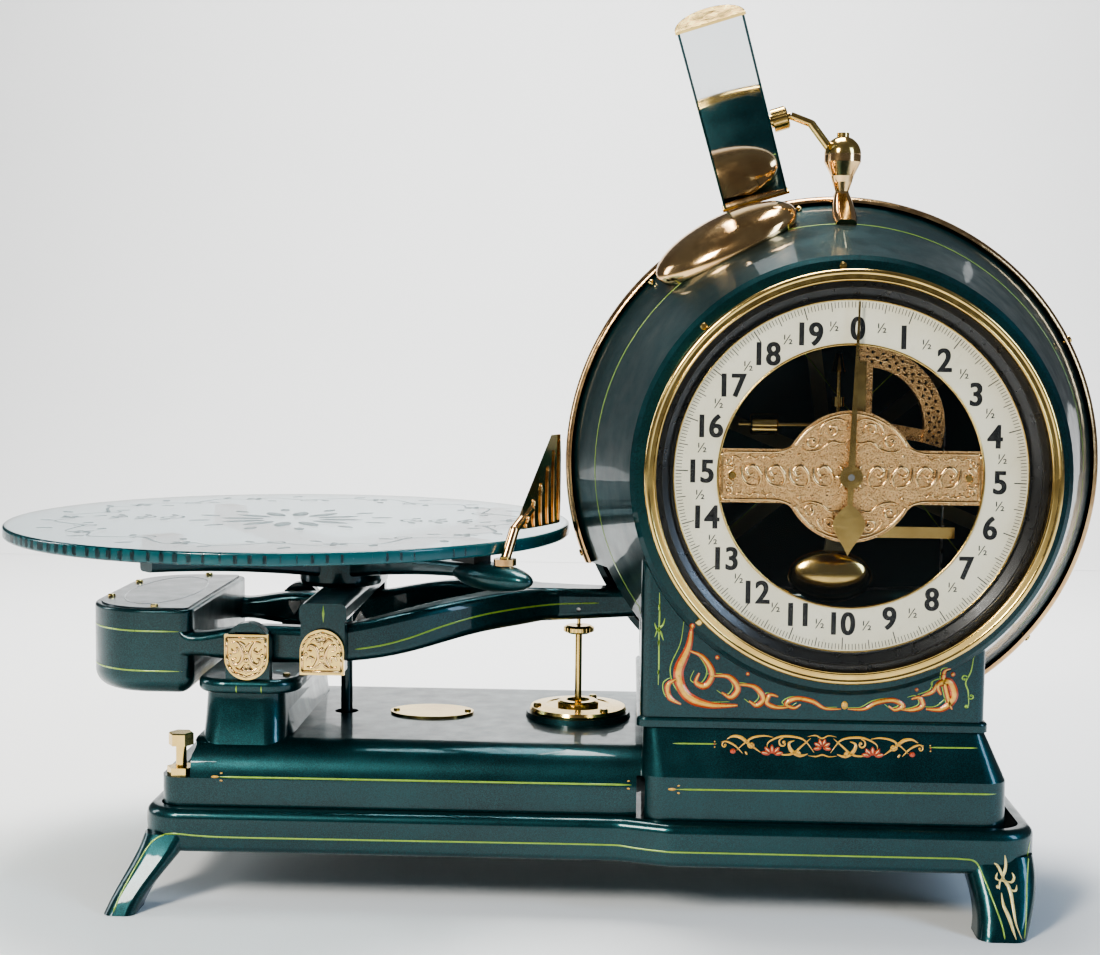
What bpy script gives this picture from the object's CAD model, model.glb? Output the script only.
"""Looks of the counter scale: materials, painted lines, ornament, dial and studio."""

import math

import bmesh
import bpy
from mathutils import Matrix, Vector
from mathutils.bvhtree import BVHTree


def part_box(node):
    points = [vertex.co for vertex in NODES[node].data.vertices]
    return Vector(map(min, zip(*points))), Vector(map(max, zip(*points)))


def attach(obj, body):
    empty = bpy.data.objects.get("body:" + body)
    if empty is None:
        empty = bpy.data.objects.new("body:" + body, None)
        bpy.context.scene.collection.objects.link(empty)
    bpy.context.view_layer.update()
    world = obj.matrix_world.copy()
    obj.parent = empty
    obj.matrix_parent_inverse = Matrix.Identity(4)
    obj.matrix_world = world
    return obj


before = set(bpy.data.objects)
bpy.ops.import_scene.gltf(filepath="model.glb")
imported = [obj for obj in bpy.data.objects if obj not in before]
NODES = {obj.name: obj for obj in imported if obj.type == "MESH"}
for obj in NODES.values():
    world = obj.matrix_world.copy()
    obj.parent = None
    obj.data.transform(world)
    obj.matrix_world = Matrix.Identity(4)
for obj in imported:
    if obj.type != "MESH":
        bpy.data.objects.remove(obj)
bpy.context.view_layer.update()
MM = 0.001

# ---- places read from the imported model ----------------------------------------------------
DIAL_LOW, DIAL_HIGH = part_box("dial_ring")
DIAL = Vector(((DIAL_LOW[0] + DIAL_HIGH[0]) / 2, DIAL_LOW[1], (DIAL_LOW[2] + DIAL_HIGH[2]) / 2))
DIAL_R = (DIAL_HIGH[0] - DIAL_LOW[0]) / 2
GLASS_LOW, GLASS_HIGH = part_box("glass_platter")
PLATTER = Vector(((GLASS_LOW[0] + GLASS_HIGH[0]) / 2, 0, GLASS_HIGH[2]))
PLATTER_R = (GLASS_HIGH[0] - GLASS_LOW[0]) / 2
HOUSE_LOW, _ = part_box("drum_housing")
FRONT, DOWN = Vector((0, -1, 0)), Vector((0, 0, -1))
DIAL_TURN = math.radians(-1.5)          # the dial sits turned a little clockwise
SIDES = ((-1, "front"), (1, "rear"))


# ---- shader helpers --------------------------------------------------------------------------
class Shader:
    """A material with one Principled shader and short calls to add texture to it."""

    def __init__(self, name, color, metallic=0.0, roughness=0.4, **sockets):
        self.material = bpy.data.materials.new(name)
        self.material.use_nodes = True
        self.tree = self.material.node_tree
        self.bsdf = self.tree.nodes["Principled BSDF"]
        self.bsdf.inputs["Base Color"].default_value = (*color, 1)
        self.bsdf.inputs["Metallic"].default_value = metallic
        self.bsdf.inputs["Roughness"].default_value = roughness
        for socket, value in sockets.items():
            self.bsdf.inputs[socket.replace("_", " ")].default_value = value
        self.place = self.node("ShaderNodeTexCoord").outputs["Object"]

    def node(self, kind, **settings):
        made = self.tree.nodes.new(kind)
        for key, value in settings.items():
            setattr(made, key, value)
        return made

    def link(self, source, target):
        self.tree.links.new(source, target)

    def noise(self, scale, detail=3.0, roughness=0.5, stretch=None):
        made = self.node("ShaderNodeTexNoise")
        made.inputs["Scale"].default_value = scale
        made.inputs["Detail"].default_value = detail
        made.inputs["Roughness"].default_value = roughness
        self.link(self.stretched(stretch), made.inputs["Vector"])
        return made.outputs["Fac"]

    def cells(self, scale, output="Color"):
        made = self.node("ShaderNodeTexVoronoi")
        made.inputs["Scale"].default_value = scale
        self.link(self.place, made.inputs["Vector"])
        return made.outputs[output]

    def stretched(self, stretch):
        if not stretch:
            return self.place
        made = self.node("ShaderNodeMapping")
        made.inputs["Scale"].default_value = stretch
        self.link(self.place, made.inputs["Vector"])
        return made.outputs["Vector"]

    def ramp(self, source, *stops):
        """Colours or greys along a value: stops are (position, colour or grey)."""
        made = self.node("ShaderNodeValToRGB")
        elements = made.color_ramp.elements
        while len(elements) < len(stops):
            elements.new(0.5)
        for element, (position, value) in zip(elements, stops):
            element.position = position
            element.color = (*value, 1) if isinstance(value, tuple) else (value, value, value, 1)
        self.link(source, made.inputs["Fac"])
        return made.outputs["Color"]

    def mix(self, factor, a, b, blend="MIX"):
        made = self.node("ShaderNodeMix", data_type="RGBA", blend_type=blend)
        for socket, value in ((made.inputs[0], factor), (made.inputs[6], a), (made.inputs[7], b)):
            if isinstance(value, bpy.types.NodeSocket):
                self.link(value, socket)
            elif isinstance(value, tuple):
                socket.default_value = (*value, 1)
            else:
                socket.default_value = value
        return made.outputs[2]

    def grey(self, source, low, high, start=0.3, end=0.7):
        made = self.node("ShaderNodeMapRange")
        made.inputs["From Min"].default_value = start
        made.inputs["From Max"].default_value = end
        made.inputs["To Min"].default_value = low
        made.inputs["To Max"].default_value = high
        self.link(source, made.inputs["Value"])
        return made.outputs["Result"]

    def color(self, source):
        self.link(source, self.bsdf.inputs["Base Color"])

    def rough(self, source):
        self.link(source, self.bsdf.inputs["Roughness"])

    def bump(self, source, strength, distance=0.0005, socket="Normal", after=None):
        made = self.node("ShaderNodeBump")
        made.inputs["Strength"].default_value = strength
        made.inputs["Distance"].default_value = distance
        self.link(source, made.inputs["Height"])
        if after:
            self.link(after, made.inputs["Normal"])
        self.link(made.outputs["Normal"], self.bsdf.inputs[socket])
        return made.outputs["Normal"]


def metallic_paint(name, dark, bright, flake):
    """Deep enamel with fine metal flakes under a clear, slightly uneven coat."""
    s = Shader(name, bright, metallic=0.75, roughness=0.36, Coat_Weight=0.6, Coat_Roughness=0.025)
    flakes = s.ramp(s.cells(2600), (0.25, 0.0), (0.95, 1.0))
    cloud = s.ramp(s.noise(9, 3, 0.5), (0.35, dark), (0.7, bright))
    s.color(s.mix(s.grey(flakes, 0.0, 0.55, 0.1, 0.9), cloud, flake))
    s.rough(s.grey(s.noise(60, 4), 0.30, 0.44))
    s.bump(s.cells(2600, "Distance"), 0.10, 0.0002)
    s.bump(s.noise(70, 2), 0.035, 0.0012, socket="Coat Normal")
    return s.material


def brass(name, base, shade, roughness=(0.10, 0.22), grain=(260, 260, 260), strength=0.06):
    """Polished metal with faint polishing marks and warmer, duller patches."""
    s = Shader(name, base, metallic=1.0, roughness=0.16)
    patches = s.noise(38, 5, 0.6)
    s.color(s.mix(s.ramp(patches, (0.38, 0.0), (0.72, 1.0)), base, shade))
    s.rough(s.grey(s.noise(120, 5, 0.65), *roughness))
    fine = s.noise(1.0, 4, 0.6, stretch=grain)
    first = s.bump(fine, strength, 0.0003)
    s.bump(s.noise(900, 3), strength * 0.5, 0.0002, after=first)
    return s.material


# look, material name, colour and the colour of its thin patches
STRIPING = (
    ("lime", "lime_striping_enamel", (0.30, 0.47, 0.045), (0.22, 0.36, 0.04)),
    ("leaf", "gold_leaf_enamel", (0.85, 0.47, 0.07), (0.62, 0.30, 0.04)),
    ("pale", "pale_gold_leaf", (0.88, 0.72, 0.30), (0.66, 0.50, 0.17)),
    ("red", "orange_red_enamel", (0.58, 0.075, 0.018), (0.42, 0.05, 0.012)),
    ("ghost", "worn_grey_line", (0.16, 0.20, 0.21), (0.10, 0.13, 0.14)),
)


def make_materials():
    """Every look by its short name."""
    m = {}
    m["paint"] = metallic_paint("teal_flake_enamel", dark=(0.0008, 0.016, 0.018),
                                bright=(0.0020, 0.034, 0.037), flake=(0.006, 0.085, 0.095))
    m["slate"] = metallic_paint("slate_flake_enamel", dark=(0.016, 0.030, 0.037),
                                bright=(0.030, 0.050, 0.060), flake=(0.06, 0.10, 0.12))
    m["brass"] = brass("polished_brass", (0.82, 0.60, 0.23), (0.62, 0.42, 0.15))
    m["gold"] = brass("warm_gold_bronze", (0.88, 0.60, 0.30), (0.66, 0.38, 0.17), roughness=(0.08, 0.2))
    m["band"] = brass("aged_band_brass", (0.70, 0.47, 0.24), (0.42, 0.24, 0.12), roughness=(0.12, 0.3))
    s = Shader("cast_bronze", (0.70, 0.42, 0.18), metallic=1.0, roughness=0.3)
    grain = s.cells(900, "Distance")
    s.color(s.mix(s.ramp(grain, (0.1, 0.0), (0.6, 1.0)), (0.40, 0.20, 0.07), (0.86, 0.56, 0.27)))
    s.rough(s.grey(s.noise(300, 4), 0.22, 0.42))
    s.bump(grain, 0.55, 0.0006, after=s.bump(s.noise(1500, 3), 0.3, 0.0003))
    m["bronze"] = s.material
    s = Shader("bright_relief", (0.90, 0.62, 0.30), metallic=1.0, roughness=0.18)
    s.color(s.mix(s.ramp(s.noise(160, 4), (0.35, 0.0), (0.7, 1.0)), (0.92, 0.64, 0.32), (0.70, 0.42, 0.17)))
    s.rough(s.grey(s.noise(240, 4), 0.12, 0.28))
    s.bump(s.noise(700, 3), 0.15, 0.0003)
    m["relief"] = s.material
    s = Shader("turned_steel", (0.42, 0.42, 0.41), metallic=1.0, roughness=0.28)
    s.color(s.mix(s.noise(80, 4), (0.46, 0.46, 0.45), (0.30, 0.29, 0.27)))
    s.rough(s.grey(s.noise(200, 4), 0.2, 0.4))
    s.bump(s.noise(1.0, 4, 0.6, stretch=(90, 90, 1500)), 0.12, 0.0003)
    m["steel"] = s.material
    s = Shader("olive_movement_iron", (0.055, 0.045, 0.018), metallic=0.3, roughness=0.5)
    s.color(s.mix(s.noise(45, 5, 0.6), (0.035, 0.030, 0.012), (0.085, 0.070, 0.028)))
    s.rough(s.grey(s.noise(150, 5), 0.38, 0.62))
    s.bump(s.noise(420, 5), 0.25, 0.0005)
    m["dark_iron"] = s.material
    s = Shader("cast_weight", (0.12, 0.12, 0.12), metallic=0.8, roughness=0.6)
    s.color(s.mix(s.noise(60, 5), (0.09, 0.09, 0.09), (0.2, 0.19, 0.18)))
    s.bump(s.noise(500, 5), 0.5, 0.0008)
    m["weight"] = s.material
    s = Shader("dial_enamel", (0.88, 0.83, 0.64), roughness=0.32, Coat_Weight=0.3, Coat_Roughness=0.2)
    stains = s.ramp(s.noise(26, 5, 0.62), (0.35, 0.0), (0.75, 1.0))
    age = s.mix(stains, (0.90, 0.85, 0.66), (0.80, 0.74, 0.54))
    spots = s.ramp(s.noise(210, 3, 0.7), (0.66, 0.0), (0.78, 1.0))
    s.color(s.mix(s.grey(spots, 0.0, 0.28, 0.0, 1.0), age, (0.36, 0.26, 0.13)))
    s.rough(s.grey(s.noise(140, 4), 0.26, 0.42))
    s.bump(s.noise(320, 4), 0.06, 0.0004)
    m["dial"] = s.material
    s = Shader("black_well_enamel", (0.012, 0.012, 0.011), roughness=0.3, Coat_Weight=0.4,
               Coat_Roughness=0.15)
    s.color(s.mix(s.noise(70, 4), (0.010, 0.010, 0.010), (0.022, 0.020, 0.017)))
    s.rough(s.grey(s.noise(180, 4), 0.24, 0.4))
    s.bump(s.noise(500, 3), 0.08, 0.0003)
    m["well"] = s.material
    s = Shader("black_ink", (0.010, 0.010, 0.010), roughness=0.45)
    worn = s.ramp(s.noise(420, 4, 0.6), (0.5, 0.0), (0.85, 1.0))
    s.color(s.mix(worn, (0.009, 0.009, 0.009), (0.05, 0.045, 0.04)))
    s.bump(s.noise(900, 3), 0.1, 0.0001)
    m["ink"] = s.material
    for key, name, base, other in STRIPING:
        s = Shader(name, base, metallic=0.15, roughness=0.3, Coat_Weight=0.9, Coat_Roughness=0.04)
        s.color(s.mix(s.ramp(s.noise(260, 4, 0.6), (0.35, 0.0), (0.75, 1.0)), base, other))
        s.rough(s.grey(s.noise(500, 3), 0.25, 0.42))
        s.bump(s.noise(800, 3), 0.08, 0.0002)
        m[key] = s.material
    s = Shader("plate_glass", (0.31, 0.45, 0.49), roughness=0.0, Transmission_Weight=1.0, IOR=1.5)
    s.color(s.mix(s.noise(6, 2), (0.28, 0.42, 0.46), (0.34, 0.48, 0.52)))
    s.rough(s.grey(s.noise(90, 4), 0.0, 0.03))
    m["plate_glass"] = s.material
    s = Shader("ground_glass_edge", (0.010, 0.105, 0.120), roughness=0.16, Transmission_Weight=0.35, IOR=1.5)
    s.color(s.mix(s.noise(60, 3), (0.006, 0.080, 0.095), (0.016, 0.150, 0.165)))
    s.rough(s.grey(s.noise(300, 4), 0.1, 0.28))
    m["edge"] = s.material
    s = Shader("cover_glass", (0.03, 0.035, 0.035), roughness=0.02, Alpha=0.06, IOR=1.5)
    s.rough(s.grey(s.noise(40, 3), 0.0, 0.03))
    m["cover_glass"] = s.material
    s = Shader("etched_frost", (0.42, 0.52, 0.54), roughness=0.5, Transmission_Weight=0.6, IOR=1.45)
    s.color(s.mix(s.noise(180, 4), (0.36, 0.46, 0.48), (0.50, 0.60, 0.62)))
    s.bump(s.noise(1800, 3), 0.4, 0.0002)
    m["frost"] = s.material
    s = Shader("silvered_mirror", (0.86, 0.88, 0.88), metallic=1.0, roughness=0.03)
    tarnish = s.ramp(s.noise(30, 5, 0.7), (0.55, 0.0), (0.8, 1.0))
    s.color(s.mix(tarnish, (0.87, 0.89, 0.89), (0.70, 0.71, 0.70)))
    s.rough(s.grey(s.noise(110, 4), 0.015, 0.06))
    m["mirror"] = s.material
    s = Shader("moulded_rubber", (0.03, 0.03, 0.03), roughness=0.7)
    s.color(s.mix(s.noise(120, 4), (0.022, 0.022, 0.022), (0.05, 0.048, 0.045)))
    s.bump(s.noise(700, 4), 0.3, 0.0004)
    m["rubber"] = s.material
    s = Shader("chart_varnish", (0.22, 0.18, 0.07), roughness=0.55)
    s.color(s.mix(s.noise(30, 5, 0.6), (0.16, 0.13, 0.05), (0.30, 0.25, 0.10)))
    s.bump(s.noise(300, 4), 0.15, 0.0004)
    m["chart"] = s.material
    s = Shader("pale_paper_floor", (0.92, 0.92, 0.91), roughness=0.85)
    s.color(s.mix(s.noise(3, 2), (0.90, 0.90, 0.89), (0.94, 0.94, 0.93)))
    m["paper"] = s.material
    return m


MATERIAL = make_materials()

NODE_LOOKS = {
    "paint": ("leg_tray", "base_casting", "fulcrum_stand", "drum_housing", "rear_cover", "beam_lever",
              "carrier_yoke", "platter_spider", "mirror_hood", "check_rod"),
    "slate": ("ballast_lid",),
    "brass": ("lock_nuts", "base_plate", "base_screws", "fulcrum_covers", "dashpot_cover", "case_screws",
              "bezel_ring", "levelling_bolt_front", "levelling_bolt_rear", "lid_screws", "load_covers",
              "guard_screw", "dashpot_plunger", "adjusting_nut", "pointer", "pinion", "pendulum_bob",
              "sensitivity_poise", "balance_poise", "rack", "clamp_nut", "mirror_arm", "hood_caps"),
    "gold": ("reading_visor", "mirror_post", "scoop_guard"),
    "band": ("rim_band",),
    "bronze": ("name_plate", "pendulum_sector"),
    "steel": ("fulcrum_bearings", "check_link", "knife_edges", "beam_pins", "load_bearings", "pointer_arbor",
              "pendulum_shaft", "sector_band", "draw_band"),
    "dark_iron": ("dashpot_cup", "movement_frame", "pendulum_arm"),
    "weight": ("ballast_weight",),
    "dial": ("dial_ring",),
    "well": ("dial_well",),
    "plate_glass": ("glass_platter",),
    "cover_glass": ("dial_glass",),
    "mirror": ("mirror_glass",),
    "rubber": ("platter_pads",),
    "chart": ("chart_wheel",),
}


def paint_nodes():
    """Gives every CAD node its look, slot by slot."""
    for look, nodes in NODE_LOOKS.items():
        for node in nodes:
            slots = NODES[node].data.materials
            if not len(slots):
                slots.append(MATERIAL[look])
            for index in range(len(slots)):
                slots[index] = MATERIAL[look]


def piece(name, bm, look, body, smooth=True):
    """Turns a bmesh, in metres in the row frame, into a piece that rides on a body."""
    bmesh.ops.recalc_face_normals(bm, faces=bm.faces)
    mesh = bpy.data.meshes.new(name)
    bm.to_mesh(mesh)
    bm.free()
    for polygon in mesh.polygons:
        polygon.use_smooth = smooth
    made = bpy.data.objects.new(name, mesh)
    bpy.context.scene.collection.objects.link(made)
    mesh.materials.append(MATERIAL[look])
    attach(made, body)


TREES = {}


def surface(node):
    """Search tree of a node's mesh, made once."""
    if node not in TREES:
        mesh = NODES[node].data
        TREES[node] = BVHTree.FromPolygons([v.co for v in mesh.vertices], [p.vertices for p in mesh.polygons])
    return TREES[node]


def land(node, point, aim):
    """Where a ray meets a node, and the surface's outward normal there."""
    aim = Vector(aim).normalized()
    hit, normal, _, _ = surface(node).ray_cast(Vector(point), aim)
    if hit is None:
        return None, None
    return hit, (-normal if normal.dot(aim) > 0 else normal)


def smooth_path(points, steps=10, closed=False):
    """Catmull-Rom points through control points of any dimension."""
    points = [Vector(p) for p in points]
    count = len(points)

    def at(j):
        return points[j % count] if closed else points[min(max(j, 0), count - 1)]

    out = []
    for i in range(count if closed else count - 1):
        a, b, c, d = at(i - 1), at(i), at(i + 1), at(i + 2)
        for k in range(steps):
            t = k / steps
            out.append(0.5 * ((2 * b) + (c - a) * t + (2 * a - 5 * b + 4 * c - d) * t ** 2
                              + (3 * b - a - 3 * c + d) * t ** 3))
    if not closed:
        out.append(points[-1])
    return out


def ribbon(bm, spots, widths, lift=0.14 * MM, sink=0.10 * MM, closed=False):
    """Closed raised strip through (point, normal) spots."""
    count = len(spots)
    rings = []
    for i, (point, normal) in enumerate(spots):
        before = spots[(i - 1) % count if closed else max(i - 1, 0)][0]
        after = spots[(i + 1) % count if closed else min(i + 1, count - 1)][0]
        along = (after - before).normalized()
        side = normal.cross(along).normalized() * widths[i] / 2
        high, low = point + normal * lift, point - normal * sink
        rings.append([bm.verts.new(p) for p in (high - side, high + side, low + side, low - side)])
    for i in range(count if closed else count - 1):
        a, b = rings[i], rings[(i + 1) % count]
        for k in range(4):
            bm.faces.new((a[k], a[(k + 1) % 4], b[(k + 1) % 4], b[k]))
    if not closed:
        bm.faces.new(rings[0])
        bm.faces.new(list(reversed(rings[-1])))


def line_on(name, node, body, rays, width=0.9, look="lime", closed=False, taper=3, lift=0.14):
    """A painted line laid where the rays (point, direction) meet a node."""
    spots = [s for s in (land(node, p, a) for p, a in rays) if s[0] is not None]
    if len(spots) < 2:
        raise RuntimeError(f"{name}: its rays miss {node}")
    widths = []
    for i in range(len(spots)):
        near_end = min(i, len(spots) - 1 - i)
        widths.append(width * MM * (1 if closed or near_end >= taper else (near_end + 0.4) / (taper + 0.4)))
    bm = bmesh.new()
    ribbon(bm, spots, widths, lift=lift * MM, closed=closed)
    piece(name, bm, look, body)


class Sheet:
    """Flat ornament drawn in millimetres on a plane and laid on a node along the plane's normal."""

    def __init__(self, node, origin, across, upward, lift=0.14, reach=0.06):
        self.node = node
        self.origin = Vector(origin)
        self.across = Vector(across).normalized()
        self.upward = Vector(upward).normalized()
        self.normal = self.across.cross(self.upward).normalized()
        self.lift = lift * MM
        self.reach = reach
        self.bm = bmesh.new()

    def spot(self, u, v):
        start = self.origin + self.across * (u * MM) + self.upward * (v * MM) + self.normal * self.reach
        return land(self.node, start, -self.normal)

    def stroke(self, points, widths, steps=8):
        """A brush stroke through points, whose width follows the list of widths along it."""
        path = smooth_path([(x, y, 0) for x, y in points], steps)
        spots, sizes = [], []
        for i, p in enumerate(path):
            spot = self.spot(p.x, p.y)
            if spot[0] is None:
                continue
            share = i / (len(path) - 1) * (len(widths) - 1)
            low = min(int(share), len(widths) - 2)
            sizes.append((widths[low] + (widths[low + 1] - widths[low]) * (share - low)) * MM)
            spots.append(spot)
        if len(spots) > 1:
            ribbon(self.bm, spots, sizes, lift=self.lift)

    def blob(self, u, v, along, width, angle=0.0, point=0.0):
        """An oval or a petal; point pulls its far end to a tip."""
        count = 14
        turn = math.radians(angle)
        top, low = [], []
        for i in range(count):
            t = 2 * math.pi * i / count
            x = along / 2 * math.cos(t)
            y = width / 2 * math.sin(t) * (1 - point * max(math.cos(t), 0) ** 2)
            spot, normal = self.spot(u + x * math.cos(turn) - y * math.sin(turn),
                                     v + x * math.sin(turn) + y * math.cos(turn))
            if spot is None:
                return
            top.append(self.bm.verts.new(spot + normal * self.lift))
            low.append(self.bm.verts.new(spot - normal * 0.1 * MM))
        self.bm.faces.new(top)
        self.bm.faces.new(list(reversed(low)))
        for i in range(count):
            j = (i + 1) % count
            self.bm.faces.new((top[i], low[i], low[j], top[j]))

    def curl(self, u, v, radius, start, turns, width, flip=1):
        """A spiral that winds in from its outer end, with a dot at its eye."""
        points = []
        count = max(int(abs(turns) * 9), 5)
        for i in range(count + 1):
            share = i / count
            angle = math.radians(start) + flip * turns * 2 * math.pi * share
            r = radius * (1 - 0.80 * share)
            points.append((u + r * math.cos(angle), v + r * math.sin(angle)))
        self.stroke(points, (width * 0.5, width, width * 0.8, width * 0.6), 4)
        self.blob(points[-1][0], points[-1][1], width * 1.7, width * 1.7)

    def leaf(self, points, width):
        """A stroke that swells in its middle and ends in fine tips."""
        self.stroke(points, (width * 0.15, width * 0.8, width, width * 0.7, width * 0.1))

    def done(self, name, look, body):
        piece(name, self.bm, look, body)


def flipped(points, flip, squeeze=1.0):
    """Points with x mirrored when flip is -1, and squeezed across."""
    return [(flip * x * squeeze, y) for x, y in points]


def polar(radius, angle):
    """Flat point at a radius and an angle in degrees, anticlockwise from across."""
    return (radius * math.cos(math.radians(angle)), radius * math.sin(math.radians(angle)))


# ---- dial --------------------------------------------------------------------------------------------
POUNDS = 20
FIGURE_R, FIGURE_HEIGHT = 90.6 * MM, 14.4 * MM
HALF_R, HALF_HEIGHT = 92.4 * MM, 6.0 * MM
TEXT_EXTRUDE = 0.01         # half depth of the raw text, before it is scaled
TEXT_DEPTH = 0.12 * MM      # and its whole depth on the dial


def dial_frame(radius, angle):
    """Point on the dial at a radius and a clockwise angle from the top, in metres."""
    angle -= DIAL_TURN
    return Vector((DIAL.x + radius * math.sin(angle), DIAL.y, DIAL.z + radius * math.cos(angle)))


def dial_ticks():
    """Ounce marks, longer at each half pound and longest at each pound."""
    bm = bmesh.new()
    outer = DIAL_R - 1.2 * MM
    ounces = POUNDS * 16
    for ounce in range(ounces):
        angle = 2 * math.pi * ounce / ounces
        length, width = (7.6, 0.62) if ounce % 16 == 0 else (5.6, 0.5) if ounce % 8 == 0 else (3.6, 0.40)
        spots = [(dial_frame(outer - share * length * MM, angle), FRONT) for share in (0, 1)]
        ribbon(bm, spots, [width * MM] * 2, lift=0.06 * MM, sink=0.04 * MM)
    piece("dial_ticks", bm, "ink", "base", smooth=False)


def text_mesh(text, height, weight=0.0, narrow=1.0):
    """Mesh of a text, centred, standing on XZ and facing -Y, as tall as its figures should be."""
    curve = bpy.data.curves.new("figures", "FONT")
    curve.body = text
    curve.align_x, curve.align_y = "CENTER", "CENTER"
    curve.size = 1.0
    curve.offset = weight
    curve.extrude = TEXT_EXTRUDE
    made = bpy.data.objects.new("figures", curve)
    mesh = bpy.data.meshes.new_from_object(made)
    bpy.data.objects.remove(made)
    bpy.data.curves.remove(curve)
    low = Vector([min(v.co[i] for v in mesh.vertices) for i in range(3)])
    high = Vector([max(v.co[i] for v in mesh.vertices) for i in range(3)])
    scale = height / (high.y - low.y)
    middle = (low + high) / 2
    for v in mesh.vertices:
        x, y, z = v.co - middle
        v.co = (x * scale * narrow, -z / (2 * TEXT_EXTRUDE) * TEXT_DEPTH, y * scale)
    return mesh


def put(bm, mesh, place):
    """Adds a mesh to a bmesh at a place, and clears it away."""
    mesh.transform(Matrix.Translation(place))
    bm.from_mesh(mesh)
    bpy.data.meshes.remove(mesh)


def dial_figures():
    """Pound figures and half-pound marks, upright all round the dial."""
    figures, halves = bmesh.new(), bmesh.new()
    for pound in range(POUNDS):
        place = dial_frame(FIGURE_R, 2 * math.pi * pound / POUNDS)
        # three shifted layers make bold figures; each lies a hair above the last
        for layer, shift in enumerate((-0.34, 0.0, 0.34)):
            offset = Vector((shift, -0.008 * layer, 0)) * MM
            put(figures, text_mesh(str(pound), FIGURE_HEIGHT, weight=0.018, narrow=0.9), place + offset)
        place = dial_frame(HALF_R, 2 * math.pi * (pound + 0.5) / POUNDS)
        put(halves, text_mesh("½", HALF_HEIGHT, weight=0.006), place)
    piece("dial_figures", figures, "ink", "base", smooth=False)
    piece("dial_half_marks", halves, "ink", "base", smooth=False)


def turned(name, profile, look, body="base", center=None, upright=False, steps=160):
    """Closed ring from (radius, offset) points in millimetres, about the drum's axis or an upright one."""
    bm = bmesh.new()
    middle = center or DIAL
    rings = []
    for i in range(steps):
        angle = 2 * math.pi * i / steps
        c, q = math.cos(angle), math.sin(angle)
        ring = [Vector((r * c, r * q, k)) if upright else Vector((r * c, k, r * q)) for r, k in profile]
        rings.append([bm.verts.new(middle + p * MM) for p in ring])
    for i in range(steps):
        a, b = rings[i], rings[(i + 1) % steps]
        for k in range(len(profile)):
            n = (k + 1) % len(profile)
            bm.faces.new((a[k], a[n], b[n], b[k]))
    piece(name, bm, look, body)


def bead(radius, y, size, count=12):
    """Round bead profile for turned()."""
    angles = [2 * math.pi * i / count for i in range(count)]
    return [(radius + size * math.cos(a), y + size * math.sin(a)) for a in angles]


def dial_trim():
    """Fine rings round the dial, the bezel and the well."""
    turned("dial_outer_line", bead(DIAL_R / MM + 0.1, -0.1, 0.55), "brass")
    turned("dial_inner_bead", bead(80.9, -0.15, 0.75), "brass")
    bezel_low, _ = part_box("bezel_ring")
    front = (bezel_low[1] - DIAL.y) / MM
    turned("bezel_roll", bead(124.3, front + 1.6, 2.1), "brass")
    turned("bezel_inner_bead", bead(120.0, front + 0.2, 0.8), "brass")
    turned("well_step_line", bead(115.4, front + 7.3, 0.5), "well")


# ---- painted lines ---------------------------------------------------------------------------------
LINE_REACH = 0.25           # rays for painted lines start this far out
CONE_LINE_Y = -0.041        # depth of the line round the front cone
CONE_R = 0.1605             # the cone's painted line runs inside this radius
PEDESTAL_TOP = 0.045        # and stops this far above the pedestal's foot
REAR_LINE_R = 0.120
RING_STEPS = 220
# straight lines on the base: name, left end, right end, points and width in millimetres
BASE_LINES = (
    ("spine_line", (-204, 80), (57, 80.3), 40, 1.2),
    ("block_low_line", (84, 80.6), (281, 81.6), 30, 1.1),
    ("stencil_line_left", (82, 108), (109.5, 108.2), 8, 0.9),
    ("stencil_line_right", (240, 108.6), (270, 108.8), 8, 0.9),
)
# lines across the ends: name, node, x, half length, facing, height and width in millimetres
END_LINES = (
    ("tray_line_right_end", "leg_tray", 306, 70, 1, 45, 1.0),
    ("tray_line_left_end", "leg_tray", -252, 70, -1, 45, 1.0),
    ("block_line_right_end", "base_casting", 289, 100, 1, 81.6, 1.1),
)


def front_rays(points, steps=10, y=-0.25, aim=(0, 1, 0)):
    """Rays that run back onto the object through (x, z) millimetre points."""
    path = smooth_path([(x, 0, z) for x, z in points], steps)
    return [(Vector((p.x * MM, y, p.z * MM)), aim) for p in path]


def straight(a, b, count):
    """Evenly spaced points from a to b."""
    shares = [i / (count - 1) for i in range(count)]
    return [(a[0] + (b[0] - a[0]) * t, a[1] + (b[1] - a[1]) * t) for t in shares]


def around(outline, z, gap, step=6.0):
    """Rays towards a plan outline at a height, from a gap outside it; outline is (x, y, nx, ny)."""
    rays = []
    for (x0, y0, nx0, ny0), (x1, y1, nx1, ny1) in zip(outline, outline[1:]):
        count = max(int(math.hypot(x1 - x0, y1 - y0) / step), 1)
        for i in range(count):
            t = i / count
            n = Vector((nx0 + (nx1 - nx0) * t, ny0 + (ny1 - ny0) * t, 0)).normalized()
            p = Vector((x0 + (x1 - x0) * t, y0 + (y1 - y0) * t, z)) + n * gap
            rays.append((p * MM, -n))
    return rays


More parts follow.
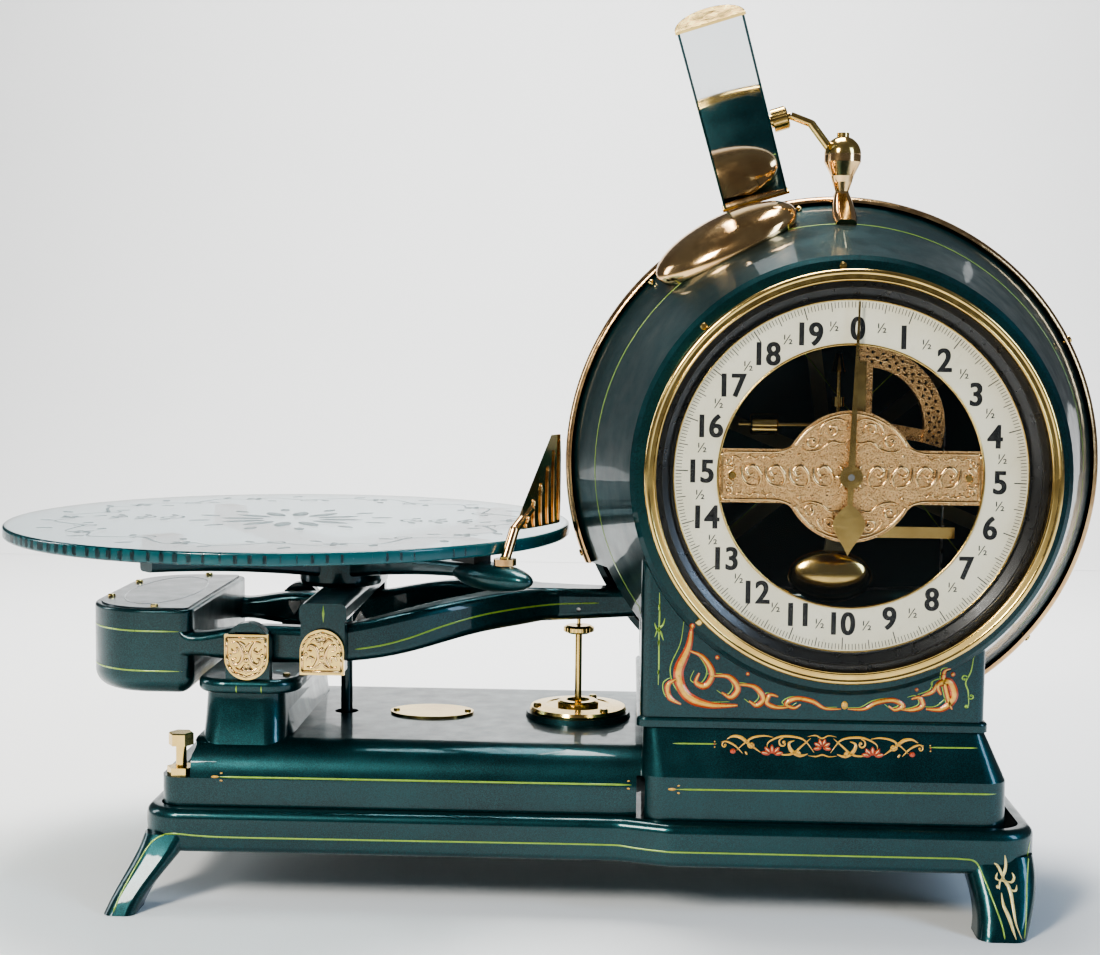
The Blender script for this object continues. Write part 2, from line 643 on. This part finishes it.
def side_lines(side, label):
    """Lime lines on one long side: tray and legs, base, beam, yoke and stand."""
    aim, start = (0, -side, 0), side * LINE_REACH

    def rays(points, steps=10):
        return front_rays(points, steps, start, aim)

    tray = [(-262, 2), (-258.5, 12), (-251, 28), (-243, 41), (-232, 45.8), (-215, 45), (-190, 44.4),
            (-100, 44.6), (0, 45), (46, 45), (60, 44.4), (78, 44.2), (150, 44.2), (240, 44.2), (258, 44),
            (267, 42.4), (271.5, 34), (276, 22), (280, 10), (281.5, 2)]
    leg_edge = [(302, 53), (299.5, 42), (297.2, 30), (295.4, 16), (293.5, 2)]
    line_on(f"tray_line_{label}", "leg_tray", "base", rays(tray, 12), width=1.0)
    line_on(f"leg_edge_line_{label}", "leg_tray", "base", rays(leg_edge, 12), width=0.9)
    for name, left, right, count, width in BASE_LINES:
        line_on(f"{name}_{label}", "base_casting", "base", rays(straight(left, right, count), 3), width=width)
    beam = [(-121, 158.6), (-104, 161), (-86, 165.4), (-66, 171.6), (-44, 176.4), (-20, 178.8), (8, 180),
            (34, 180.6)]
    dart = [(-138.6, 189), (-138.6, 178)]
    line_on(f"beam_line_{label}", "beam_lever", "beam", rays(beam, 14), width=1.1)
    line_on(f"yoke_dart_{label}", "carrier_yoke", "carrier", rays(dart, 8), width=1.9, taper=5)
    for n, x in enumerate((-193.3, -177.4)):
        strut = rays([(x, 137.6), (x, 132.8)], 6)
        line_on(f"strut_line_{label}_{n + 1}", "fulcrum_stand", "base", strut, width=1.0)


def ballast_lines():
    """Two lines round the rounded end of the beam's ballast box."""
    low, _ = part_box("beam_lever")
    end, half, corner = low[0] / MM, 84.0, 46.0
    plan = [(-232, -half, 0, -1), (end + corner, -half, 0, -1)]
    for i in range(1, 13):
        angle = math.radians(270 - 90 * i / 12)
        plan.append((end + corner + corner * math.cos(angle), -half + corner + corner * math.sin(angle),
                     math.cos(angle), math.sin(angle)))
    plan += [(x, -y, nx, -ny) for x, y, nx, ny in reversed(plan)]
    for n, z in enumerate((168.2, 142.4)):
        line_on(f"ballast_line_{n + 1}", "beam_lever", "beam", around(plan, z, 20, 4), width=1.0)


def end_lines():
    """Lines across the ends of the tray and of the base."""
    for name, node, x, half, flip, z, width in END_LINES:
        plan = [(x, -half * flip, flip, 0), (x, half * flip, flip, 0)]
        line_on(name, node, "base", around(plan, z, 20, 5), width=width)


def drum_lines():
    """Lines round the front cone, where it stands clear of the pedestal, and round the back."""
    cone, back = [], []
    for i in range(RING_STEPS):
        angle = math.radians(360 * i / RING_STEPS)
        out = Vector((math.cos(angle), 0, math.sin(angle)))
        cone.append((Vector((DIAL.x, CONE_LINE_Y, DIAL.z)) + out * LINE_REACH, -out))
        start = Vector((DIAL.x + REAR_LINE_R * out.x, 0.3, DIAL.z + REAR_LINE_R * out.z))
        back.append((start, FRONT))
    line_on("drum_ring_line", "drum_housing", "base", [ray for ray in cone if ray_clear(ray)], width=1.0)
    line_on("rear_ring_line", "rear_cover", "base", back, width=1.0, closed=True)


def ray_clear(ray):
    """Whether a ray meets the part of the cone that stands clear of the pedestal."""
    hit, _ = land("drum_housing", *ray)
    if hit is None:
        return False
    return (hit - Vector((DIAL.x, hit.y, DIAL.z))).length < CONE_R and hit.z > HOUSE_LOW[2] + PEDESTAL_TOP


# ---- ornament ----------------------------------------------------------------------------------------
STENCIL_X, STENCIL_Z = 0.1745, 0.1086       # middle of the stencilled band
PETAL_STEP = 40


def flower(red, veins, spot, petals, start, petal_reach, petal_size, vein_reach, vein_length):
    """Half-round flower of petals, with a pale vein on each."""
    u, v = spot
    for petal in range(petals):
        angle = start + petal * PETAL_STEP
        c, q = math.cos(math.radians(angle)), math.sin(math.radians(angle))
        red.blob(u + petal_reach[0] * c, v + petal_reach[1] * q, *petal_size, angle, 0.3)
        veins.blob(u + vein_reach[0] * c, v + 0.2 + vein_reach[1] * q, vein_length, 0.5, angle)


def stencil(side, label):
    """Band of scrolls and three flowers on the sloping shoulder of the base."""
    across = (-side, 0, 0)
    upward = (0, -side * 0.32, 0.95)
    origin = (STENCIL_X, side * 0.112, STENCIL_Z)
    gold = Sheet("base_casting", origin, across, upward, lift=0.13)
    red = Sheet("base_casting", origin, across, upward, lift=0.18)
    veins = Sheet("base_casting", origin, across, upward, lift=0.22)
    for flip in (-1, 1):
        gold.leaf(flipped([(5, -4), (11, 3.5), (18, 5.6), (26, 5.4), (33, 2.0), (34, -1.5)], flip), 1.5)
        gold.leaf(flipped([(7, 4.8), (12, 0.5), (18, -4.6), (24, -5.6), (29, -4.0)], flip), 1.4)
        gold.leaf(flipped([(9, -4.8), (14, -6.0), (19, -3.0), (20.5, 1.5), (17, 3.2)], flip), 2.4)
        gold.leaf(flipped([(30, 5.0), (36, 5.8), (43, 4.5), (48, 1.0), (53, -3.6)], flip), 1.4)
        gold.leaf(flipped([(38, -4.5), (45, 0.5), (50, 4.4), (55, 5.2), (59, 3.2)], flip), 2.2)
        gold.leaf(flipped([(49, -5.4), (54, -0.5), (59, 1.8), (62.5, 1.4)], flip), 1.3)
        gold.curl(flip * 24, 1.6, 3.2, 90, 0.9, 1.2, flip=-flip)
        gold.curl(flip * 43.5, 0.2, 2.9, 60 if flip > 0 else 120, 0.9, 1.1, flip=-flip)
        gold.curl(flip * 60.2, -0.4, 2.1, 90, 0.8, 0.9, flip=-flip)
        gold.blob(flip * 15, -4.2, 4.2, 2.6, flip * 35)
        gold.blob(flip * 47, -5.0, 2.6, 1.3, flip * 60)
        flower(red, veins, (flip * 31, -5.4), 5, 10, (4.2, 3.1), (5.6, 2.7), (4.4, 3.2), 3.4)
        red.blob(flip * 55.2, -4.0, 3.6, 3.2)
        red.blob(flip * 66.5, 0, 1.0, 1.0)
        gold.blob(flip * 66.4, 1.7, 0.9, 0.9)
        gold.blob(flip * 66.4, -1.7, 0.9, 0.9)
    flower(red, veins, (0, -0.8), 6, -10, (3.1, 3.2), (5.2, 2.6), (3.4, 3.4), 3.2)
    gold.leaf([(-9, 5.8), (-4, 6.6), (0, 4.9), (4, 6.6), (9, 5.8)], 1.0)
    gold.leaf([(-9, -5.8), (-4, -6.3), (0, -5.2), (4, -6.3), (9, -5.8)], 1.0)
    gold.done(f"stencil_scrolls_{label}", "leaf", "base")
    red.done(f"stencil_flowers_{label}", "red", "base")
    veins.done(f"stencil_veins_{label}", "pale", "base")


def shaded_stroke(sheets, points, width):
    """Sign-writer's stroke: red outline, gold body and a lime highlight beside it."""
    red, gold, lime = sheets
    red.stroke(points, (width * 0.25, width, width, width * 0.3))
    gold.stroke(points, (width * 0.08, width * 0.56, width * 0.56, width * 0.1))
    lime.stroke([(x - width * 0.8, y + width * 0.35) for x, y in points], (0.3, 0.7, 0.7, 0.3))


def pedestal_ornament():
    """Generic scrolls across the foot of the pedestal, under the bezel."""
    origin = (DIAL.x, HOUSE_LOW[1], 0.128)
    sheets = [Sheet("drum_housing", origin, (1, 0, 0), (0, 0, 1), lift=lift) for lift in (0.13, 0.19, 0.12)]
    red, gold, lime = sheets
    shaded_stroke(sheets, [(-66, 4), (-84, 4), (-98, 10), (-103, 24), (-97, 40), (-95, 54)], 6.4)
    shaded_stroke(sheets, [(-101, 4), (-108, 8), (-109.5, 16), (-104, 20)], 3.6)
    shaded_stroke(sheets, [(-97, 38), (-88, 34), (-82, 24), (-86, 16), (-92, 18), (-90, 24)], 4.2)
    shaded_stroke(sheets, [(-83, 22), (-72, 22), (-66, 15), (-70, 9), (-76, 12)], 4.0)
    shaded_stroke(sheets, [(-66, 17), (-56, 16), (-50, 9), (-54, 4.2), (-59, 7)], 3.8)
    for flip in (-1, 1):
        shaded_stroke(sheets, flipped([(2, 3), (12, 3.2), (20, 7.5), (30, 9), (36, 5.5), (31, 3),
                                       (27, 5.5)], flip), 3.2)
        shaded_stroke(sheets, flipped([(34, 3.4), (42, 3.2), (48, 6), (46, 11), (41, 10)], flip), 3.2)
    shaded_stroke(sheets, [(50, 4), (60, 4.2), (67, 12), (64, 21), (57, 19), (59, 13)], 5.0)
    shaded_stroke(sheets, [(66, 4), (64, 9), (60, 27), (64, 30)], 3.0)
    shaded_stroke(sheets, [(47, 12), (54, 15), (56, 20)], 2.8)
    gold.blob(0, 5.4, 4.0, 5.2)
    for x, y, size in ((-95, 54, 3.6), (-79, 34, 2.8), (-60, 24, 2.4), (66, 26, 3.0), (44, 16, 2.4)):
        red.blob(x, y, size, size)
        gold.blob(x, y, size * 0.55, size * 0.55)
    # upright flourishes at either side
    u = -115.4
    lime.stroke([(u, 16), (u + 0.2, 30), (u, 46), (u + 0.2, 60), (u, 74)], (0.4, 1.0, 1.0, 1.0, 0.4))
    lime.leaf([(u - 2.6, 46), (u - 0.6, 51), (u + 2.2, 53.5), (u + 3.6, 58)], 1.5)
    lime.leaf([(u + 2.8, 44), (u + 1.0, 49), (u - 1.6, 51.5), (u - 2.8, 55)], 1.5)
    lime.blob(u, 42.5, 1.5, 3.6)
    lime.blob(u, 64.5, 1.4, 4.6)
    lime.blob(u, 24, 1.2, 3.0)
    u = 74.5
    lime.stroke([(u + 4, 38), (u + 2.4, 28), (u - 0.6, 21), (u + 1.2, 15), (u + 1.6, 6)],
                (0.3, 0.9, 0.9, 0.9, 0.4))
    lime.curl(u - 1.6, 23.5, 2.4, 0, 0.8, 0.9)
    lime.curl(u + 3.2, 12.5, 2.2, 180, 0.8, 0.9)
    lime.blob(u + 0.4, 6.0, 2.6, 2.4)
    red.done("pedestal_scroll_edges", "red", "base")
    gold.done("pedestal_scroll_gold", "leaf", "base")
    lime.done("pedestal_scroll_lines", "lime", "base")


def leg_ornament(side, label):
    """Gold-leaf spray on the dial end's legs."""
    across = (-side, 0, 0)
    sheet = Sheet("leg_tray", (0.285, side * 0.13, 0.024), across, (0, 0, 1), lift=0.14, reach=0.05)
    flip = -side
    sheet.leaf(flipped([(-0.4, 23), (0.4, 17), (-1.6, 12), (-4.6, 8)], flip, 0.8), 2.0)
    sheet.leaf(flipped([(-8.4, 18), (-5.4, 16), (-2.6, 11), (-0.6, 6)], flip, 0.8), 1.9)
    sheet.leaf(flipped([(4.6, 13), (6.0, 10.5), (3.8, 8), (0.2, 8.4)], flip, 0.8), 1.7)
    sheet.leaf(flipped([(-5.8, 4), (-4.6, 8.6), (-0.6, 8.0), (2.2, 3), (3.4, -6), (4.6, -14),
                        (8.4, -22)], flip, 0.8), 2.3)
    sheet.leaf(flipped([(-4.6, 2.4), (-3.8, -4), (-0.6, -10), (2.0, -17), (4.0, -22)], flip, 0.8), 2.4)
    sheet.leaf(flipped([(-6.4, 12.8), (-7.6, 9.8), (-5.0, 8.6)], flip, 0.8), 1.4)
    sheet.leaf(flipped([(2.0, 4.0), (6.2, 3.6), (7.4, 6.6)], flip, 0.8), 1.5)
    sheet.blob(flip * -5.6, 5.4, 2.0, 2.0)
    sheet.done(f"leg_leaf_{label}", "pale", "base")


def line_ends():
    """Small painted tips where the base's lines stop."""
    for name, x, z, flip in (("spine_tip_left", -206, 80, -1), ("spine_tip_right", 59, 80.3, 1),
                             ("block_tip", 82, 80.6, -1)):
        sheet = Sheet("base_casting", (x * MM, -0.12, z * MM), (1, 0, 0), (0, 0, 1), lift=0.17)
        sheet.blob(0, 0, 5.0, 1.7)
        sheet.blob(flip * -4, 2.3, 1.7, 1.0, 10)
        sheet.blob(flip * -4, -2.3, 1.9, 1.1, -10)
        sheet.done(name, "leaf", "base")


def relief(sheet, points, width):
    """A raised scroll with soft ends."""
    sheet.stroke(points, (width * 0.5, width, width, width * 0.5))


def plaque_relief(name, node, body, x, z, side, up):
    """Scrollwork on a bearing cover: crossed scrolls, a cup on one side and a rosette on the other."""
    across = (-side, 0, 0)
    sheet = Sheet(node, (x, side * 0.12, z), across, (0, 0, up), lift=1.0)
    if up < 0:
        sheet.normal = Vector((0, side, 0))
    edge = [(-12.4, 12.2), (12.4, 12.2), (12.4, 0), (11.2, -5.6), (7.8, -9.8), (0, -12.6), (-7.8, -9.8),
            (-11.2, -5.6), (-12.4, 0)]
    for a, b in zip(edge, edge[1:] + edge[:1]):
        sheet.stroke([a, b], (1.3, 1.3), 2)
    for flip in (-1, 1):
        relief(sheet, flipped([(9.4, 9.2), (6.0, 9.6), (3.4, 6.4), (2.2, 1.8), (4.0, -3.2), (7.6, -4.6),
                               (8.6, -1.6), (6.4, -0.6)], flip), 1.9)
        relief(sheet, flipped([(9.6, 5.4), (8.0, 3.0), (5.4, 4.0), (6.2, 6.4)], flip), 1.6)
        relief(sheet, flipped([(1.0, -4.4), (3.8, -8.4), (7.0, -6.6)], flip), 1.6)
        relief(sheet, flipped([(0.4, 6.0), (1.8, 8.4), (4.4, 10.0)], flip), 1.5)
        sheet.blob(flip * 10.2, 1.2, 2.2, 2.2)
    sheet.blob(0, 3.2, 3.0, 2.4)
    sheet.blob(0, -1.8, 3.4, 3.0)
    for angle in range(200, 341, 35):
        u, v = polar(2.4, angle)
        sheet.blob(u, v - 6.2, 3.4, 1.6, angle)
    sheet.done(name, "relief", body)


def plaques():
    """Relief on the four bearing covers."""
    for side, label in SIDES:
        for node, name, body, up in (("fulcrum_covers", "fulcrum_plaque_relief", "base", 1),
                                     ("load_covers", "load_plaque_relief", "carrier", -1)):
            low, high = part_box(node)
            x, z = (low[0] + high[0]) / 2, (low[2] + high[2]) / 2
            plaque_relief(f"{name}_{label}", node, body, x, z, side, up)


def name_plate_relief():
    """Raised edge, beads and scrolls on the bronze cross plate."""
    sheet = Sheet("name_plate", DIAL, (1, 0, 0), (0, 0, 1), lift=0.7)
    disc, half, reach = 38.6, 14.6, 78.4
    meet = math.degrees(math.asin(half / disc))
    for flip in (-1, 1):
        for v in (-1, 1):
            sheet.stroke(flipped([(reach, v * half), (60, v * half), (46, v * half), (40, v * (half + 1.2)),
                                  (35.6, v * 17.6)], flip), (1.5, 1.5), 8)
            # scrolls along the arms' edges
            for n in range(3):
                x = 46 + n * 9.5
                relief(sheet, flipped([(x, v * 12.2), (x + 2.6, v * 10.6), (x + 5.4, v * 12.0),
                                       (x + 8.0, v * 10.8)], flip), 1.1)
            sheet.curl(flip * 74.6, v * 8.6, 3.2, 90 if v > 0 else 270, 1.0, 1.3, flip=flip * v)
            relief(sheet, flipped([(74.5, v * 1.6), (71.4, v * 4.6), (74.4, v * 5.6),
                                   (76.6, v * 3.4)], flip), 1.4)
            # scrolls in the disc
            sheet.curl(flip * 24.0, v * 21.4, 5.0, 30, 1.1, 1.5, flip=flip * v)
            sheet.curl(flip * 12.0, v * 29.0, 4.6, 200, 1.1, 1.4, flip=-flip * v)
            relief(sheet, flipped([(30, v * 17), (25, v * 15.4), (18, v * 17), (12, v * 21.4), (5, v * 20.6),
                                   (1, v * 23.6)], flip), 1.5)
            relief(sheet, flipped([(3, v * 33.4), (7, v * 35.4), (13, v * 34.6), (18, v * 31.0),
                                   (20, v * 27)], flip), 1.3)
            sheet.blob(flip * 31.4, v * 13.0, 2.4, 2.4)
            sheet.blob(flip * 19.0, v * 26.4, 2.0, 2.0)
        # running ornament along the arm's middle
        for n in range(4):
            x = 17 + n * 14.6
            relief(sheet, flipped([(x - 5, -5.6), (x - 6.2, 0.4), (x - 1.6, 6.2), (x + 3.0, 3.6),
                                   (x + 1.2, 0.2), (x - 1.8, 1.6)], flip), 2.3)
            relief(sheet, flipped([(x - 3.6, -6.0), (x + 1.6, -5.4), (x + 5.2, -1.2),
                                   (x + 5.8, 5.6)], flip), 1.9)
            sheet.blob(flip * (x + 1.0), -2.2, 2.2, 2.2)
        sheet.stroke(flipped([(reach, -half), (reach, 0), (reach, half)], flip), (1.5, 1.5), 4)
    for start, end in ((meet + 6, 180 - meet - 6), (180 + meet + 6, 360 - meet - 6)):
        arc = [polar(disc, start + (end - start) * i / 24) for i in range(25)]
        sheet.stroke(arc, (1.5, 1.5), 2)
    for angle in range(0, 360, 45):
        sheet.blob(*polar(6.8, angle), 6.2, 2.8, angle, 0.4)
    sheet.done("name_plate_relief", "relief", "base")


def platter_etching():
    """Vines and rosettes ground into the top of the glass."""
    sheet = Sheet("glass_platter", PLATTER, (1, 0, 0), (0, 1, 0), lift=0.035)
    for n in range(10):
        base = n * 36 + 6
        sheet.stroke([polar(148 + 9 * math.sin(math.radians(k * 90)), base + k * 6) for k in range(7)],
                     (1.0, 2.4, 2.4, 1.4, 0.8), 6)
        for k, (radius, turn, size) in enumerate(((163, 4, 11), (135, 12, 10), (165, 21, 12), (133, 29, 10))):
            u, v = polar(radius, base + turn)
            sheet.blob(u, v, size, size * 0.5, base + turn + (40 if k % 2 else -35), 0.5)
        u, v = polar(150, base + 33)
        for angle in range(base, base + 360, 72):
            du, dv = polar(5, angle)
            sheet.blob(u + du, v + dv, 7.5, 4.4, angle, 0.3)
        u, v = polar(136, base + 18)
        sheet.curl(u, v, 9, base, 1.0, 1.8, flip=1 if n % 2 else -1)
    for n in range(12):
        angle = n * 30
        u, v = polar(34, angle)
        sheet.blob(u, v, 30, 11, angle, 0.5)
        u, v = polar(62, angle + 15)
        sheet.blob(u, v, 15, 7, angle + 15, 0.4)
    for flip in (-1, 1):
        for n in range(3):
            x = flip * (84 + n * 18)
            sheet.curl(x, 0, 11 - n * 2, 90, 1.1, 2.6, flip=flip)
            sheet.blob(x, 14 - n * 2, 10, 4.5, 60 * flip, 0.5)
            sheet.blob(x, -14 + n * 2, 10, 4.5, -60 * flip, 0.5)
    sheet.done("platter_etching", "frost", "carrier")


def platter_rim():
    """Ground edge of the glass, which looks dark because light runs through its whole width."""
    low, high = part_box("glass_platter")
    thick = (high[2] - low[2]) / MM
    reach = PLATTER_R / MM
    bend = 1.6
    curve = [(bend + 0.03) * math.sin(math.radians(a)) - bend for a in range(0, 91, 15)]
    reach_in = [(bend + 0.03) * math.cos(math.radians(a)) - bend for a in range(0, 91, 15)]
    low_side = [(reach + out, -thick - up) for up, out in zip(curve, reach_in)]
    top_side = [(reach + out, up) for up, out in zip(curve, reach_in)]
    inner = [(reach - 2.2, -0.6), (reach - 2.2, 0.6 - thick)]
    profile = inner + low_side[::-1] + top_side
    turned("platter_rim", profile, "edge", "carrier", Vector((PLATTER.x, PLATTER.y, high[2])), upright=True)


RIB_FOOT = 0.2405           # height of the ribs' lower ends
RIB_LENGTH = 0.0075         # length of the first rib
RIB_GROWTH = 0.0098         # and how much longer each next one is


def guard_ribs():
    """Fluting on the outer face of the guard plate."""
    for n in range(6):
        angle = math.radians(-32 + n * 2.5)
        out = Vector((math.cos(angle), math.sin(angle), 0))
        length = RIB_LENGTH + n * RIB_GROWTH
        heights = [RIB_FOOT + length * k / 12 for k in range(13)]
        rays = [(PLATTER + out * 0.3 + Vector((0, 0, z - PLATTER.z)), -out) for z in heights]
        line_on(f"guard_rib_{n + 1}", "scoop_guard", "carrier", rays, width=2.3, look="gold", lift=1.1)


def lid_line():
    """Worn oval line on the lid of the ballast box."""
    low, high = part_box("ballast_lid")
    cx, half = (low[0] + high[0]) / 2, (high[1] - low[1]) / 2
    across = (high[0] - low[0]) / 2
    rays = []
    for i in range(90):
        angle = 2 * math.pi * i / 90
        p = Vector((cx + across * 0.72 * math.cos(angle), half * 0.80 * math.sin(angle), high[2] + 0.02))
        rays.append((p, DOWN))
    line_on("ballast_lid_line", "ballast_lid", "beam", rays, width=0.8, look="ghost", closed=True)


# ---- studio ------------------------------------------------------------------------------------------
BACKDROP_Y = 1.6            # where the floor starts to curve up
CAMERA_PLACE = (0.0525, -1.214, 0.3622)
CAMERA_TURN = (-2.51, 4.63, 0.57)
CAMERA_LENS = 58.9          # millimetres, on a 36 mm sensor


def area_light(name, place, target, size, energy, color=(1, 1, 1), height=None):
    """Soft rectangular light that faces its target."""
    data = bpy.data.lights.new(name, "AREA")
    data.shape = "RECTANGLE"
    data.size, data.size_y = size, height or size
    data.energy = energy
    data.color = color
    made = bpy.data.objects.new(name, data)
    made.location = place
    made.rotation_euler = (Vector(target) - Vector(place)).to_track_quat("-Z", "Y").to_euler()
    bpy.context.scene.collection.objects.link(made)


def backdrop_piece(name, rows, half):
    """Strip of floor or curved backdrop through (y, z) rows, in metres."""
    bm = bmesh.new()
    made = [[bm.verts.new((x, y, z - 0.0002)) for x in (-half, half)] for y, z in rows]
    for a, b in zip(made, made[1:]):
        bm.faces.new((a[0], a[1], b[1], b[0]))
    mesh = bpy.data.meshes.new(name)
    bm.to_mesh(mesh)
    bm.free()
    for polygon in mesh.polygons:
        polygon.use_smooth = True
    sheet = bpy.data.objects.new(name, mesh)
    bpy.context.scene.collection.objects.link(sheet)
    mesh.materials.append(MATERIAL["paper"])


def studio():
    """Pale floor and curved backdrop, dim surroundings and soft lights."""
    backdrop_piece("studio_floor", [(-9, 0), (-3, 0), (0, 0), (BACKDROP_Y, 0), (9, 0)], 9.0)
    bend, sweep = 1.2, [math.radians(a) for a in range(0, 91, 6)]
    curve = [(BACKDROP_Y + bend * math.sin(a), bend - bend * math.cos(a) + 0.0003) for a in sweep]
    backdrop_piece("studio_backdrop", curve + [(BACKDROP_Y + bend, 1.6)], 1.5)
    world = bpy.data.worlds.new("studio_world")
    world.use_nodes = True
    world.node_tree.nodes["Background"].inputs["Color"].default_value = (0.90, 0.94, 1.0, 1)
    world.node_tree.nodes["Background"].inputs["Strength"].default_value = 0.12
    bpy.context.scene.world = world
    area_light("key_window", (-0.9, -1.5, 1.25), (0.0, 0, 0.25), 0.40, 34, (1.0, 0.97, 0.90), 0.6)
    area_light("right_window", (1.5, -0.9, 0.9), (0.15, 0, 0.25), 0.45, 16, (0.55, 0.74, 1.0), 1.0)
    area_light("overhead", (0.0, 0.45, 2.0), (0, 0.2, 0), 0.9, 48, (1.0, 0.99, 0.97))
    area_light("left_fill", (-1.8, 0.2, 0.8), (-0.1, 0, 0.2), 0.4, 9, (0.95, 0.98, 1.0), 0.9)
    area_light("backdrop_wash", (0, 0.9, 1.9), (0, 2.8, 0.7), 1.4, 60)


def camera():
    """Front view of the dial side, turned by yaw, pitch (down) and roll in degrees."""
    data = bpy.data.cameras.new("view_camera")
    data.sensor_width = 36.0
    data.lens = CAMERA_LENS
    data.clip_start = 0.05
    yaw, pitch, roll = [math.radians(a) for a in CAMERA_TURN]
    forward = Vector((math.sin(yaw) * math.cos(pitch), math.cos(yaw) * math.cos(pitch), -math.sin(pitch)))
    right = Vector((math.cos(yaw), -math.sin(yaw), 0))
    upward = right.cross(forward)
    tilted = right * math.cos(roll) + upward * math.sin(roll)
    raised = tilted.cross(forward)
    made = bpy.data.objects.new("view_camera", data)
    turn = Matrix((tilted, raised, -forward)).transposed().to_4x4()
    made.matrix_world = Matrix.Translation(CAMERA_PLACE) @ turn
    bpy.context.scene.collection.objects.link(made)
    bpy.context.scene.camera = made


# ---- make --------------------------------------------------------------------------------------------
bpy.context.scene.view_settings.look = "AgX - Medium High Contrast"
camera()
studio()
paint_nodes()
dial_ticks()
dial_figures()
dial_trim()
for side, label in SIDES:
    side_lines(side, label)
ballast_lines()
end_lines()
drum_lines()
for side, label in SIDES:
    stencil(side, label)
    leg_ornament(side, label)
pedestal_ornament()
line_ends()
plaques()
name_plate_relief()
platter_etching()
platter_rim()
guard_ribs()
lid_line()
